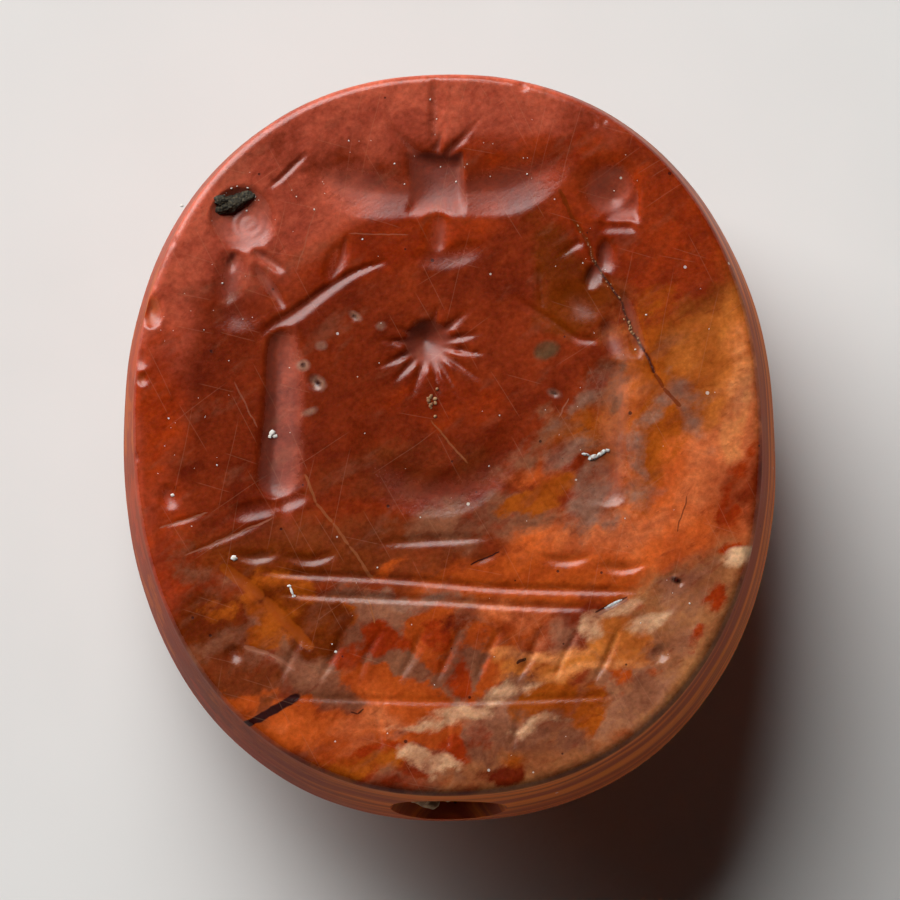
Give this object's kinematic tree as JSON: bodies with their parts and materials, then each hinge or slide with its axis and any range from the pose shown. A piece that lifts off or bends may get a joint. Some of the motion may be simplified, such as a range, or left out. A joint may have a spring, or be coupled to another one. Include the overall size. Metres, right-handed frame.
{
  "type": "stamp seal",
  "caption": "Oval stone stamp seal with a flat intaglio face, flaring side and domed back, drilled lengthwise for a cord.",
  "frame": {"origin": "on the floor under the middle of the stone, which lies on its domed back", "axes": "+Z out of the engraved face, +Y towards the top of the design and along the perforation, +X to the right of the design as seen from above"},
  "size_m": [0.02, 0.023, 0.01],
  "materials": {
    "jasper": "worn polish, mottled brick red and ochre"
  },
  "bodies": {
    "root": {"seal_stone": "jasper"}
  },
  "joints": []
}
